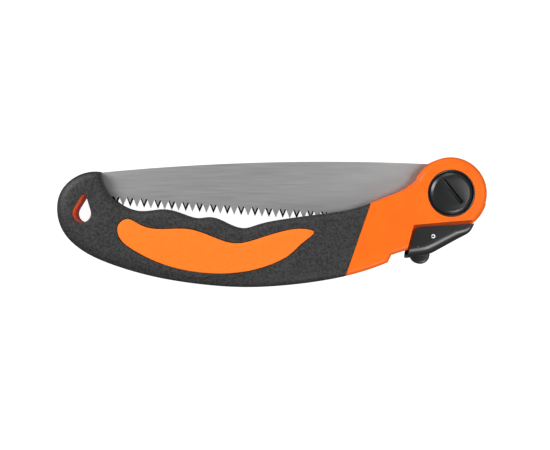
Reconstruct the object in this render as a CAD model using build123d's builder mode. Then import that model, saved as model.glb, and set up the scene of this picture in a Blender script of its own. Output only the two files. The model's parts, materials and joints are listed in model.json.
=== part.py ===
"""Folding pruning saw, folded and lying on its far side.

Units are millimetres. The origin is on the blade's pivot axis, on the plane that the saw rests on.
+X points from the tail of the handle to the pivot, +Y from the handle's back to its slot side, and
+Z up through the thickness, from the far cheek to the near one.
"""

import os
from math import acos, atan2, cos, degrees, hypot, radians, sin, sqrt

from build123d import *

# ---------------------------------------------------------------- driving dimensions
# Whole saw
inlay_thickness_overall = 22.0  # between the outer faces of the two grip inlays
inlay_proud = 0.5  # the handle's own faces lie this far below the inlays' faces

# Blade
blade_reach = 184.9  # pivot axis to the tip
blade_thickness = 1.2
blade_crown = 16.75  # highest point of the back above the pivot
blade_crown_share = 0.32  # where that point is, along the reach
tip_back = 10.8  # height of the back at the tip
nose_drop = 14.0  # the nose runs this far down from the back
nose_lean = 6.5  # and leans this far towards the pivot
tooth_pitch = 25.4 / 7  # 7 teeth to the inch
tooth_depth = 4.2
tooth_land = 0.2  # width of a tooth's point
tooth_lean = 0.5  # the point stands at this share of the pitch
tooth_line_tip = -5.5  # height of the points at the tip end
tooth_line_heel = -15.4  # and at the heel
tooth_line_bow = 0.75  # the line of points bulges this far between them
heel_length = 34.0  # pivot axis to the end of the toothed edge
tang_radius = 15.0
shoulder_length = 9.6  # the back steps down to the tang this far from the pivot
tang_top_angle = 113.0
neck_low_angle = -100.0
open_angle = 165.0  # the blade swings through this
blade_bore_play = 0.05  # radial, on the bushing

# Handle
tip_room = 1.6  # between the blade's tip and the end of the slot
tail_solid = 16.9  # from the end of the slot to the end of the tail
head_wall = 3.7  # the head's rim is this far outside the tang's
lobe_proud = 0.8  # the inner cheeks reach this far past the rim at the front corner
lobe_start_angle = -16.0
lobe_round = 2.5
grip_front = 45.0  # the grip's stations are counted from here to the tail's end
grip_slot_width = 4.0
rubber_wall = 2.2
edge_round = 3.0  # along the handle's outer edges
stop_gap = 0.35  # between the open blade's back and the stop in the head
stop_run = 30.0  # the stop runs along this much of the blade's back
floor_tail_share = 0.8  # the slot's floor is lowest between these two stations
floor_head_share = 0.12
tang_room = 1.0  # around the tang
heel_room = 2.2  # below the heel's teeth
floor_depth = 4.5  # from the deepest finger groove to the slot's floor
slot_step = 22.0  # the slot narrows to the head's width this far from the pivot

# Hanging hole
hole_radius = 4.7
hole_from_end = 13.3
hole_height = -10.3
hole_apex_round = 1.2
hole_apex_from_end = 14.4
hole_apex_height = -1.8
hole_collar = 1.6
collar_cover = 0.8  # rubber over the collar's ends

# Grip inlays
inlay_depth = 1.5  # below the handle's face
inlay_groove = 0.3
inlay_round = 0.4

# Pivot
bushing_radius = 5.0
bolt_radius = 3.0  # M6
bolt_play = 0.05
recess_play = 0.6  # radial, around the cap
recess_depth = 4.0
cap_radius = 11.6
cap_bevel_height = 1.0
cap_bevel_width = 2.0
cap_play = 0.05  # under the cap
wave_washer_thickness = 0.4
wave_washer_radius = 9.0
wave_washer_play = 0.3  # radial, on the bolt
coin_slot_length = 15.2
coin_slot_width = 2.1
coin_slot_depth = 1.6
coin_slot_angle = -51.5
coin_slot_center = (0.65, 0.85)
bolt_head_radius = 5.0
bolt_head_height = 2.0
nut_across_flats = 10.0
nut_height = 2.6
nut_washer_radius = 8.0
nut_washer_thickness = 0.6
bolt_end_room = 0.3
washer_radius = 12.0
washer_thickness = 0.5
side_play = 0.05  # between the blade and each washer

# Lock lever
lever_pin_radius = 1.05
lever_pin_bore = 0.55
lever_pin_slit = 0.4
lever_pin_play = 0.04
lever_pin_inset = 0.05
lever_inset = 1.0  # the skirts lie this far below the inlays' faces
lever_skirt = 2.2
lever_web = 2.0
spring_share = 0.5  # where the spring stands along the rear of the web
lever_play = 0.4  # between a skirt and the inner cheek
lever_round = 4.0  # along the underside
lever_nose_round = 0.7
lever_corner = 2.0
lever_gap_rear = 1.2
lever_gap_front = 1.75
cheek_gap_rear = 2.1  # between the web and the inner cheeks
cheek_gap_front = 2.0
cheek_front_lead = 0.4
thumb_lobe_radius = 5.0
thumb_lobe_width = 9.0
pawl_thickness = 1.6
pawl_tip_width = 4.0
pawl_tip_room = 0.2  # from the pawl's tip to the tang, at rest
pawl_seat = 1.0  # the pawl is let into the web this deep
pawl_foot_front = 0.97  # shares of the web between which its foot stands
pawl_foot_rear = 0.45
pawl_heel = 0.5
notch_depth = 1.9
notch_play = 0.3
spring_coil_radius = 1.75
spring_wire_radius = 0.35
spring_turns = 5
spring_pocket_play = 0.4
spring_length = 5.8
spring_end_gap = 0.1

overrun = 20.0  # cuts run on this far past what they cut
run_past = 0.5  # and a cut's straight sides run past their last points by this share

# ---------------------------------------------------------------- heights and lengths that follow
lever_width = inlay_thickness_overall - 2 * lever_inset
mid_z = inlay_thickness_overall / 2
near_z = inlay_thickness_overall - inlay_proud
far_z = inlay_proud
handle_thickness = near_z - far_z
core_low_z = far_z + rubber_wall
core_high_z = near_z - rubber_wall
blade_low_z = mid_z - blade_thickness / 2
head_slot_width = blade_thickness + 2 * (side_play + washer_thickness)
head_slot_low_z = mid_z - head_slot_width / 2
grip_slot_low_z = mid_z - grip_slot_width / 2
skirt_low_z = mid_z - lever_width / 2
cheek_low_z = skirt_low_z + lever_skirt + lever_play
cheek_width = 2 * (mid_z - cheek_low_z)
near_recess_z = near_z - recess_depth
far_recess_z = far_z + recess_depth
slot_end = blade_reach + tip_room
tail_length = slot_end + tail_solid
head_radius = tang_radius + head_wall
lobe_radius = head_radius + lobe_proud
recess_radius = cap_radius + recess_play


def grip_x(share):
    """X of a station along the grip: 0 at its front, 1 at the tail's end."""
    return -(grip_front + share * (tail_length - grip_front))


def tail_x(distance):
    """X of a point that is this far in from the tail's end."""
    return distance - tail_length


def polar(radius, angle):
    """The point at this radius from the pivot axis and this angle in degrees."""
    return (radius * cos(radians(angle)), radius * sin(radians(angle)))


def turned(point, angle, center=(0.0, 0.0)):
    """A point turned about a centre, in degrees, counterclockwise from above."""
    dx = point[0] - center[0]
    dy = point[1] - center[1]
    c = cos(radians(angle))
    s = sin(radians(angle))
    return (center[0] + c * dx - s * dy, center[1] + s * dx + c * dy)


def along(start, end, share):
    """The point at this share of the way from one point to another."""
    return (start[0] + share * (end[0] - start[0]), start[1] + share * (end[1] - start[1]))


def beside(start, end, distance):
    """The two ends of a line, moved to its left by this distance."""
    length = hypot(end[0] - start[0], end[1] - start[1])
    dx = -distance * (end[1] - start[1]) / length
    dy = distance * (end[0] - start[0]) / length
    return (start[0] + dx, start[1] + dy), (end[0] + dx, end[1] + dy)


def moved_left(points, distance):
    """Points along a curve, moved square to it, to the left, by this distance."""
    moved = []
    for i in range(len(points)):
        before = points[max(i - 1, 0)]
        after = points[min(i + 1, len(points) - 1)]
        length = hypot(after[0] - before[0], after[1] - before[1])
        dx = -distance * (after[1] - before[1]) / length
        dy = distance * (after[0] - before[0]) / length
        moved.append((points[i][0] + dx, points[i][1] + dy))
    return moved


def crossing(a, b, c, d):
    """The point where line a-b crosses line c-d."""
    ux, uy = b[0] - a[0], b[1] - a[1]
    vx, vy = d[0] - c[0], d[1] - c[1]
    share = ((c[0] - a[0]) * vy - (c[1] - a[1]) * vx) / (ux * vy - uy * vx)
    return along(a, b, share)


# ---------------------------------------------------------------- points of the handle
# Slot side, from the head to the tail: neck, finger grooves, hook.
neck_angle = 158.0  # the neck leaves the head's rim at this angle
head_arc_middle = 50.0
neck_points = [(-23.9, 2.2), (-36.3, -3.0)]
groove_points = [
    (grip_x(0.0), -6.4),
    (grip_x(0.118), -10.2),
    (grip_x(0.281), -13.8),
    (grip_x(0.343), -16.0),
    (grip_x(0.389), -17.9),
    (grip_x(0.455), -14.6),
    (grip_x(0.502), -12.2),
    (grip_x(0.533), -12.7),
    (grip_x(0.572), -11.7),
    (grip_x(0.645), -8.2),
    (grip_x(0.706), -9.0),
]
hook_points = [(tail_x(35.5), -7.4), (tail_x(28.2), -2.3), (tail_x(24.0), 4.9)]
hook_corner = (tail_x(22.4), 11.2)
deepest_groove = min(y for x, y in groove_points)

# Back, from the step behind the lever to the end of the tail, and the tail's top.
step_foot = (-32.5, -35.7)
step_head = (-30.6, -31.8)
back_points = [
    (step_foot[0] - 20.42, -42.4),
    (grip_x(0.232), -47.2),
    (grip_x(0.39), -48.5),
    (grip_x(0.548), -46.7),
    (grip_x(0.705), -42.3),
    (grip_x(0.81), -37.4),
    (tail_x(9.8), -27.2),
    (tail_x(3.6), -20.5),
]
tail_end = (tail_x(0.0), -9.5)
tail_points = [(tail_x(2.0), 1.0), (tail_x(6.7), 6.6), (tail_x(12.9), 10.1)]

# Where the rubber grip meets the hard head.
parting_top = (-41.3, -5.0)
parting_bottom = (-54.1, -41.9)

# Inlay, clockwise from its front tip, along the slot side and back along the handle's back.
inlay_front = grip_x(0.165)
inlay_points = [
    (inlay_front, -19.2),
    (inlay_front - 6.811, -18.2),
    (grip_x(0.26), -19.4),
    (grip_x(0.34), -23.2),
    (grip_x(0.416), -25.7),
    (grip_x(0.492), -22.3),
    (grip_x(0.57), -18.4),
    (grip_x(0.65), -18.4),
    (grip_x(0.727), -16.1),
    (grip_x(0.771), -13.3),
    (grip_x(0.797), -16.4),
    (grip_x(0.795), -22.2),
    (grip_x(0.75), -29.0),
    (grip_x(0.65), -36.6),
    (grip_x(0.54), -40.6),
    (grip_x(0.43), -41.1),
    (grip_x(0.33), -38.2),
    (grip_x(0.24), -31.5),
    (inlay_front - 3.96, -24.4),
]

# ---------------------------------------------------------------- points of the lock lever
lever_pin = (-9.3, -22.1)
lever_rear_top = (-18.4, -17.4)
lever_nose = (12.2, -15.3)
lever_chin = (7.6, -22.4)
lever_belly = (-11.0, -31.0)
lever_heel = (-22.6, -33.5)
thumb_lobe = (-15.2, -31.6)

web_front, web_front_end = beside(lever_belly, lever_chin, lever_web)
web_rear_end, web_rear = beside(lever_heel, lever_belly, lever_web)
web_bend = crossing(web_front, web_front_end, web_rear_end, web_rear)

# The outer cheeks are cut back around the skirts.
recess_rear_top, recess_rear_foot = beside(lever_rear_top, lever_heel, -lever_gap_rear)
recess_top_rear = (lever_rear_top[0], lever_rear_top[1] + lever_gap_rear)
recess_top_front = (lever_nose[0], lever_nose[1] + lever_gap_front)
recess_corner = crossing(recess_rear_top, recess_rear_foot, recess_top_rear, recess_top_front)

# Underside of the inner cheeks, clear of the web at both ends of the lever's travel.
cheek_rear, cheek_bend = beside(web_rear_end, web_bend, cheek_gap_rear)
cheek_front = (web_front_end[0] + cheek_front_lead, web_front_end[1] + cheek_gap_front)

# The pawl reaches the tang where its swing about the lever's pin is square to the tang's rim.
pin_distance = hypot(lever_pin[0], lever_pin[1])
pin_angle = degrees(atan2(lever_pin[1], lever_pin[0]))
pawl_radius = tang_radius + pawl_tip_room
pawl_angle = pin_angle + degrees(acos(pawl_radius / pin_distance))
pawl_room_left = -4.0
pawl_room_right = 11.3
lobe_foot = (13.2, -15.5)


def on_circle(start, end, radius):
    """The point where the line from start to end leaves a circle about the pivot axis."""
    ux, uy = end[0] - start[0], end[1] - start[1]
    a = ux * ux + uy * uy
    b = start[0] * ux + start[1] * uy
    c = start[0] ** 2 + start[1] ** 2 - radius**2
    return along(start, end, (-b + sqrt(b * b - a * c)) / a)


boss_foot = on_circle(recess_corner, recess_top_front, head_radius)


# ---------------------------------------------------------------- plan outlines
def straight_outline(*points):
    """A region with straight sides."""
    with BuildSketch() as outline:
        with BuildLine():
            Polyline(*points, close=True)
        make_face()
    return outline.sketch


def handle_outline():
    """The whole handle; the lever's recess isn't cut yet."""
    head_start = polar(head_radius, neck_angle)
    with BuildSketch() as outline:
        with BuildLine():
            Spline([head_start] + neck_points + groove_points + hook_points + [hook_corner])
            Spline([hook_corner] + tail_points[::-1] + [tail_end] + back_points[::-1] + [step_foot])
            Polyline(step_foot, step_head, cheek_rear, cheek_bend, cheek_front, boss_foot)
            ThreePointArc(boss_foot, polar(head_radius, head_arc_middle), head_start)
        make_face()
    return outline.sketch


def teardrop_outline(extra=0.0):
    """The hanging hole, grown by extra all round."""
    with BuildSketch() as outline:
        with Locations((tail_x(hole_from_end), hole_height)):
            Circle(hole_radius + extra)
        with Locations((tail_x(hole_apex_from_end), hole_apex_height)):
            Circle(hole_apex_round + extra)
        make_hull()
    return outline.sketch


def spine_outline():
    """The hard spine inside the rubber, run on a little way under the head."""
    corner = (hook_corner[0] - rubber_wall, hook_corner[1] - rubber_wall)
    slot_side = moved_left(neck_points + groove_points + hook_points, rubber_wall)
    back = moved_left(tail_points[::-1] + [tail_end] + back_points[::-1] + [step_foot], rubber_wall)
    with BuildSketch() as outline:
        with BuildLine():
            Spline(slot_side + [corner])
            Spline([corner] + back)
            Line(back[-1], slot_side[0])
        make_face()
    return outline.sketch


def inlay_outline(extra=0.0):
    """A grip inlay, grown by extra all round."""
    points = moved_left(inlay_points[-1:] + inlay_points + inlay_points[:1], -extra)[1:-1]
    with BuildSketch() as outline:
        with BuildLine():
            Spline(points, periodic=True)
        make_face()
    return outline.sketch


def back_height(x):
    """Height of the blade's back: one arc from the tip over the crown to the top of the tang."""
    tip_x = -sqrt(blade_reach**2 - tip_back**2)
    crown_x = -blade_crown_share * blade_reach
    chord = tang_radius + (tip_back - tang_radius) * x / tip_x
    crown_chord = tang_radius + (tip_back - tang_radius) * crown_x / tip_x
    bulge = (blade_crown - crown_chord) / (crown_x * (tip_x - crown_x))
    return chord + bulge * x * (tip_x - x)


def tooth_line(x):
    """Height of the line through the teeth's points."""
    share = (x + heel_length) / (nose_foot[0] + heel_length)
    straight = tooth_line_heel + share * (tooth_line_tip - tooth_line_heel)
    return straight - 4 * tooth_line_bow * share * (1 - share)


tip = (-sqrt(blade_reach**2 - tip_back**2), tip_back)
nose_foot = (tip[0] + nose_lean, tip[1] - nose_drop)
tooth_count = int((-heel_length - nose_foot[0]) / tooth_pitch)


def blade_outline():
    """The blade, without its bore and notches."""
    edge = []
    for i in range(tooth_count):
        start_x = -heel_length - i * tooth_pitch
        point_x = start_x - (1 - tooth_lean) * tooth_pitch
        gullet = tooth_line(start_x) + tooth_depth
        edge.append((start_x, gullet))
        edge.append((point_x + tooth_land / 2, tooth_line(point_x)))
        edge.append((point_x - tooth_land / 2, tooth_line(point_x)))
    end_x = -heel_length - tooth_count * tooth_pitch
    edge.append((end_x, tooth_line(end_x) + tooth_depth))
    heel = (-heel_length, tooth_line_heel)
    neck = polar(tang_radius, neck_low_angle)
    crown = (-blade_crown_share * blade_reach, blade_crown)
    shoulder = (-shoulder_length, back_height(-shoulder_length))
    tang_top = polar(tang_radius, tang_top_angle)
    with BuildSketch() as outline:
        with BuildLine():
            Polyline([neck, heel] + edge + [nose_foot, tip])
            ThreePointArc(tip, crown, shoulder)
            Line(shoulder, tang_top)
            ThreePointArc(tang_top, (tang_radius, 0.0), neck)
        make_face()
    return outline.sketch


def slot_outline():
    """Where the blade lies and swings: open to the slot side, closed below and at both ends."""
    far_up = blade_crown + overrun
    floor_y = deepest_groove - floor_depth
    swing = -open_angle
    back_start = turned((0.0, tang_radius), swing)
    back_end = turned((-stop_run, back_height(-stop_run)), swing)
    stop_start, stop_end = beside(back_start, back_end, -stop_gap)
    return straight_outline(
        (0.0, 0.0),
        stop_start,
        stop_end,
        (stop_end[0], far_up),
        (-slot_end, far_up),
        (-slot_end, tip_back),
        (-slot_end + nose_lean, tip_back - nose_drop - 2 * tip_room),
        (grip_x(floor_tail_share), floor_y),
        (grip_x(floor_head_share), floor_y),
        (-heel_length, tooth_line_heel - heel_room),
        (0.0, -tang_radius - tang_room),
    )


spring_foot = along(web_rear_end, web_bend, spring_share)
spring_top = beside(spring_foot, web_bend, spring_length)[0]
spring_seat = Plane(
    origin=(spring_top[0], spring_top[1], mid_z),
    z_dir=(spring_foot[0] - spring_top[0], spring_foot[1] - spring_top[1], 0),
)
whole = handle_outline()
lobe_sector = straight_outline(
    (0.0, 0.0),
    cheek_front,
    along((0.0, 0.0), lobe_foot, 1 + run_past),
    polar(2 * lobe_radius, lobe_start_angle),
)
slot = slot_outline()
teardrop = teardrop_outline()
teardrop_collar = teardrop_outline(hole_collar)
spine = spine_outline()
inlay = inlay_outline()
inlay_pocket = inlay_outline(inlay_groove)
blade_plan = blade_outline()
grip_side = straight_outline(
    along(parting_top, parting_bottom, -run_past),
    along(parting_top, parting_bottom, 1 + run_past),
    (tail_x(-overrun), parting_bottom[1] - overrun),
    (tail_x(-overrun), blade_crown + overrun),
)
behind_slot_step = straight_outline(
    (-slot_step, -3 * overrun),
    (-slot_step, 3 * overrun),
    (tail_x(-overrun), 3 * overrun),
    (tail_x(-overrun), -3 * overrun),
)
recess_foot = along(recess_corner, recess_rear_foot, 1 + run_past)
lever_recess = straight_outline(
    along(recess_corner, recess_top_front, 1 + run_past),
    recess_corner,
    recess_foot,
    (recess_foot[0], -3 * overrun),
    (2 * overrun, -3 * overrun),
    (2 * overrun, recess_top_front[1]),
)
pawl_room = straight_outline(
    (pawl_room_left, 0.0),
    (pawl_room_left, -2 * overrun),
    (pawl_room_right, -2 * overrun),
    (pawl_room_right, 0.0),
)


# ---------------------------------------------------------------- handle
def make_lobe():
    """The inner cheeks' round bulge at the front corner of the head."""
    with BuildPart() as lobe:
        with BuildSketch(Plane.XY.offset(cheek_low_z)):
            Circle(lobe_radius)
        extrude(amount=cheek_width)
        fillet(lobe.edges().filter_by(GeomType.CIRCLE), lobe_round)
        with BuildSketch(Plane.XY.offset(cheek_low_z)):
            add(lobe_sector)
        extrude(amount=cheek_width, mode=Mode.INTERSECT)
    return lobe.part


def make_handle_core(lobe):
    """The hard moulding: the head, the two inner cheeks and the spine inside the rubber."""
    with BuildPart() as handle_core:
        with BuildSketch(Plane.XY.offset(far_z)):
            add(whole)
        extrude(amount=handle_thickness)
        outer_faces = handle_core.faces().filter_by(Axis.Z)
        fillet(outer_faces.edges(), edge_round)
        # Only the head keeps the full thickness; the spine lies inside the rubber.
        with BuildSketch(Plane.XY.offset(far_z)):
            add(grip_side)
        extrude(amount=handle_thickness, mode=Mode.SUBTRACT)
        with BuildSketch(Plane.XY.offset(core_low_z)):
            add(spine)
        extrude(amount=core_high_z - core_low_z)
        collar_z = far_z + collar_cover
        with BuildSketch(Plane.XY.offset(collar_z)):
            add(teardrop_collar)
        extrude(amount=near_z - collar_cover - collar_z)
        # Room for the lever's skirts on both sides.
        with BuildSketch(Plane.XY.offset(cheek_low_z)):
            add(lever_recess)
        extrude(amount=-lever_width, mode=Mode.SUBTRACT)
        with BuildSketch(Plane.XY.offset(cheek_low_z + cheek_width)):
            add(lever_recess)
        extrude(amount=lever_width, mode=Mode.SUBTRACT)
        add(lobe)
        # Slot for the blade, wider in the grip than in the head.
        with BuildSketch(Plane.XY.offset(head_slot_low_z)):
            add(slot)
            Circle(tang_radius + tang_room)
            add(pawl_room)
        extrude(amount=head_slot_width, mode=Mode.SUBTRACT)
        with BuildSketch(Plane.XY.offset(grip_slot_low_z)):
            add(slot)
            add(behind_slot_step, mode=Mode.INTERSECT)
        extrude(amount=grip_slot_width, mode=Mode.SUBTRACT)
        # Hanging hole, pivot bore and recesses, lever pin bore, spring pocket.
        with BuildSketch(Plane.XY):
            add(teardrop)
            Circle(bushing_radius)
            with Locations(lever_pin):
                Circle(lever_pin_radius + lever_pin_play)
        extrude(amount=inlay_thickness_overall, mode=Mode.SUBTRACT)
        with BuildSketch(Plane.XY.offset(near_recess_z)):
            Circle(recess_radius)
        extrude(amount=recess_depth, mode=Mode.SUBTRACT)
        with BuildSketch(Plane.XY.offset(far_recess_z)):
            Circle(recess_radius)
        extrude(amount=-recess_depth, mode=Mode.SUBTRACT)
        with BuildSketch(spring_seat):
            Circle(spring_coil_radius + spring_wire_radius + spring_pocket_play)
        extrude(amount=spring_length + overrun, mode=Mode.SUBTRACT)
    handle_core.part.label = "handle_core"
    export_step(handle_core.part, "parts/handle_core.step")
    return handle_core.part


def make_soft_grip(core):
    """The rubber moulded over the spine, with a pocket in each face for an inlay."""
    with BuildPart() as soft_grip:
        with BuildSketch(Plane.XY.offset(far_z)):
            add(whole)
        extrude(amount=handle_thickness)
        outer_faces = soft_grip.faces().filter_by(Axis.Z)
        fillet(outer_faces.edges(), edge_round)
        with BuildSketch(Plane.XY.offset(far_z)):
            add(grip_side)
        extrude(amount=handle_thickness, mode=Mode.INTERSECT)
        with BuildSketch(Plane.XY.offset(grip_slot_low_z)):
            add(slot)
        extrude(amount=grip_slot_width, mode=Mode.SUBTRACT)
        with BuildSketch(Plane.XY):
            add(teardrop)
        extrude(amount=inlay_thickness_overall, mode=Mode.SUBTRACT)
        with BuildSketch(Plane.XY.offset(near_z)):
            add(inlay_pocket)
        extrude(amount=-inlay_depth, mode=Mode.SUBTRACT)
        with BuildSketch(Plane.XY.offset(far_z)):
            add(inlay_pocket)
        extrude(amount=inlay_depth, mode=Mode.SUBTRACT)
        add(core, mode=Mode.SUBTRACT)
    soft_grip.part.label = "soft_grip"
    export_step(soft_grip.part, "parts/soft_grip.step")


def make_grip_inlay(name, seat_z, way):
    """A rubber inlay whose outer face stands proud of the grip; way is 1 near, -1 far."""
    with BuildPart() as grip_inlay:
        with BuildSketch(Plane.XY.offset(seat_z)):
            add(inlay)
        extrude(amount=way * (inlay_depth + inlay_proud))
        outer_face = grip_inlay.faces().filter_by(Axis.Z).sort_by(Axis.Z)[-1 if way > 0 else 0]
        fillet(outer_face.edges(), inlay_round)
    grip_inlay.part.label = name
    export_step(grip_inlay.part, "parts/" + name + ".step")


# ---------------------------------------------------------------- blade
def make_blade():
    """The steel blade: toothed edge, tang with its bore and the two notches for the pawl."""
    notch_width = pawl_tip_width + 2 * notch_play
    with BuildPart() as blade:
        with BuildSketch(Plane.XY.offset(blade_low_z)):
            add(blade_plan)
            Circle(bushing_radius + blade_bore_play, mode=Mode.SUBTRACT)
            for angle in (pawl_angle, pawl_angle + open_angle):
                with Locations(Location(polar(tang_radius, angle), angle)):
                    Rectangle(2 * notch_depth, notch_width, mode=Mode.SUBTRACT)
        extrude(amount=blade_thickness)
    blade.part.label = "blade"
    export_step(blade.part, "parts/blade.step")


# ---------------------------------------------------------------- pivot
def make_ring(name, low_z, height, outer, inner):
    """A washer or a bushing about the pivot axis."""
    with BuildPart() as ring:
        with BuildSketch(Plane.XY.offset(low_z)):
            Circle(outer)
            Circle(inner, mode=Mode.SUBTRACT)
        extrude(amount=height)
    ring.part.label = name
    export_step(ring.part, "parts/" + name + ".step")


cap_low_z = near_recess_z + wave_washer_thickness + cap_play
nut_low_z = far_recess_z - nut_washer_thickness - nut_height


def make_pivot_cap():
    """The black adjuster disc over the bolt's head, with a coin slot."""
    slot_low_z = inlay_thickness_overall - coin_slot_depth
    coin_radius = coin_slot_length**2 / (8 * coin_slot_depth) + coin_slot_depth / 2
    coin_normal = (-sin(radians(coin_slot_angle)), cos(radians(coin_slot_angle)), 0)
    coin_plane = Plane(
        origin=(coin_slot_center[0], coin_slot_center[1], slot_low_z + coin_radius),
        z_dir=coin_normal,
    )
    with BuildPart() as pivot_cap:
        with BuildSketch(Plane.XY.offset(cap_low_z)):
            Circle(cap_radius)
        extrude(amount=inlay_thickness_overall - cap_low_z)
        top_edge = pivot_cap.edges().group_by(Axis.Z)[-1]
        chamfer(top_edge, cap_bevel_height, cap_bevel_width)
        with BuildSketch(Plane.XY.offset(cap_low_z)):
            Circle(bolt_head_radius)
        extrude(amount=bolt_head_height, mode=Mode.SUBTRACT)
        with BuildSketch(coin_plane):
            Circle(coin_radius)
        extrude(amount=coin_slot_width / 2, both=True, mode=Mode.SUBTRACT)
    pivot_cap.part.label = "pivot_cap"
    export_step(pivot_cap.part, "parts/pivot_cap.step")


def make_pivot_bolt():
    """The M6 bolt that the blade's tension is set with."""
    with BuildPart() as pivot_bolt:
        with BuildSketch(Plane.XY.offset(cap_low_z)):
            Circle(bolt_head_radius)
        extrude(amount=bolt_head_height)
        with BuildSketch(Plane.XY.offset(nut_low_z)):
            Circle(bolt_radius)
        extrude(amount=cap_low_z - nut_low_z)
    pivot_bolt.part.label = "pivot_bolt"
    export_step(pivot_bolt.part, "parts/pivot_bolt.step")


def make_pivot_nut():
    """The nut, held from turning by the nut cap."""
    with BuildPart() as pivot_nut:
        with BuildSketch(Plane.XY.offset(nut_low_z)):
            RegularPolygon(nut_across_flats / 2, 6, major_radius=False)
            Circle(bolt_radius + bolt_play, mode=Mode.SUBTRACT)
        extrude(amount=nut_height)
    pivot_nut.part.label = "pivot_nut"
    export_step(pivot_nut.part, "parts/pivot_nut.step")


def make_nut_cap():
    """The black disc in the far cheek, with a hexagonal seat for the nut."""
    with BuildPart() as nut_cap:
        with BuildSketch(Plane.XY):
            Circle(cap_radius)
        extrude(amount=far_recess_z)
        chamfer(nut_cap.edges().group_by(Axis.Z)[0], cap_bevel_height, cap_bevel_width)
        with BuildSketch(Plane.XY.offset(far_recess_z)):
            Circle(nut_washer_radius)
        extrude(amount=-nut_washer_thickness, mode=Mode.SUBTRACT)
        with BuildSketch(Plane.XY.offset(nut_low_z)):
            RegularPolygon(nut_across_flats / 2, 6, major_radius=False)
        extrude(amount=nut_height, mode=Mode.SUBTRACT)
        with BuildSketch(Plane.XY.offset(nut_low_z)):
            Circle(bolt_radius + bolt_play)
        extrude(amount=-bolt_end_room, mode=Mode.SUBTRACT)
    nut_cap.part.label = "nut_cap"
    export_step(nut_cap.part, "parts/nut_cap.step")


# ---------------------------------------------------------------- lock lever
def pawl_outline():
    """The pawl's plate, from the groove in the web up to its tip at the tang's rim."""
    tip_middle = polar(pawl_radius, pawl_angle)
    root_middle = polar(pawl_radius + notch_depth, pawl_angle)
    tip_front, root_front = beside(tip_middle, root_middle, pawl_tip_width / 2)
    tip_rear, root_rear = beside(tip_middle, root_middle, -pawl_tip_width / 2)
    seat_rear, seat_front = beside(lever_belly, lever_chin, lever_web - pawl_seat)
    return straight_outline(
        tip_front,
        root_front,
        along(seat_rear, seat_front, pawl_foot_front),
        along(seat_rear, seat_front, pawl_foot_rear),
        along(web_bend, web_front_end, pawl_heel),
        root_rear,
        tip_rear,
    )


def make_lock_lever():
    """The black saddle: two skirts joined by a web across the underside, and a thumb lobe."""
    skirt = straight_outline(lever_rear_top, lever_nose, lever_chin, lever_belly, lever_heel)
    pawl = pawl_outline()
    inside = straight_outline(
        web_rear_end,
        web_bend,
        web_front_end,
        along(web_bend, web_front_end, 1 + run_past),
        (2 * overrun, overrun),
        (-3 * overrun, overrun),
        along(web_bend, web_rear_end, 2 + 2 * run_past),
    )
    with BuildPart() as lock_lever:
        with BuildSketch(Plane.XY.offset(skirt_low_z)):
            add(skirt)
        extrude(amount=lever_width)
        below = lock_lever.faces().filter_by(Axis.Z).edges().sort_by(Axis.Y)[0:4]
        fillet(below, lever_round)
        rear_top = lock_lever.edges().filter_by(Axis.Z).group_by(Axis.Y)[-2]
        nose = lock_lever.edges().filter_by(Axis.Z).group_by(Axis.Y)[-1]
        fillet(rear_top, lever_corner)
        fillet(nose, lever_nose_round)
        with BuildSketch(Plane.XY.offset(mid_z - thumb_lobe_width / 2)):
            with Locations(thumb_lobe):
                Circle(thumb_lobe_radius)
        extrude(amount=thumb_lobe_width)
        with BuildSketch(Plane.XY.offset(skirt_low_z + lever_skirt)):
            add(inside)
        extrude(amount=lever_width - 2 * lever_skirt, mode=Mode.SUBTRACT)
        with BuildSketch(Plane.XY.offset(mid_z - pawl_thickness / 2)):
            add(pawl)
        extrude(amount=pawl_thickness, mode=Mode.SUBTRACT)
        with BuildSketch(Plane.XY):
            with Locations(lever_pin):
                Circle(lever_pin_radius)
        extrude(amount=inlay_thickness_overall, mode=Mode.SUBTRACT)
    lock_lever.part.label = "lock_lever"
    export_step(lock_lever.part, "parts/lock_lever.step")
    with BuildPart() as lock_pawl:
        with BuildSketch(Plane.XY.offset(mid_z - pawl_thickness / 2)):
            add(pawl)
        extrude(amount=pawl_thickness)
    lock_pawl.part.label = "lock_pawl"
    export_step(lock_pawl.part, "parts/lock_pawl.step")


def make_lever_pin():
    """The slotted spring pin that the lever turns on."""
    with BuildPart() as pin:
        with BuildSketch(Plane.XY.offset(skirt_low_z + lever_pin_inset)):
            with Locations(lever_pin):
                Circle(lever_pin_radius)
                Circle(lever_pin_bore, mode=Mode.SUBTRACT)
            with Locations((lever_pin[0] - lever_pin_radius, lever_pin[1])):
                Rectangle(2 * lever_pin_bore, lever_pin_slit, mode=Mode.SUBTRACT)
        extrude(amount=lever_width - 2 * lever_pin_inset)
    pin.part.label = "lever_pin"
    export_step(pin.part, "parts/lever_pin.step")


def make_lever_spring():
    """The coil spring between the lever's web and its pocket in the handle."""
    wire_end = spring_wire_radius + spring_end_gap
    coil_length = spring_length - 2 * wire_end
    with BuildPart() as lever_spring:
        with BuildLine():
            coil = Helix(
                pitch=coil_length / spring_turns,
                height=coil_length,
                radius=spring_coil_radius,
                center=spring_seat.offset(wire_end).origin,
                direction=spring_seat.z_dir,
            )
        with BuildSketch(Plane(origin=coil @ 0, z_dir=coil % 0)):
            Circle(spring_wire_radius)
        sweep(is_frenet=True)
    lever_spring.part.label = "lever_spring"
    export_step(lever_spring.part, "parts/lever_spring.step")


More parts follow.
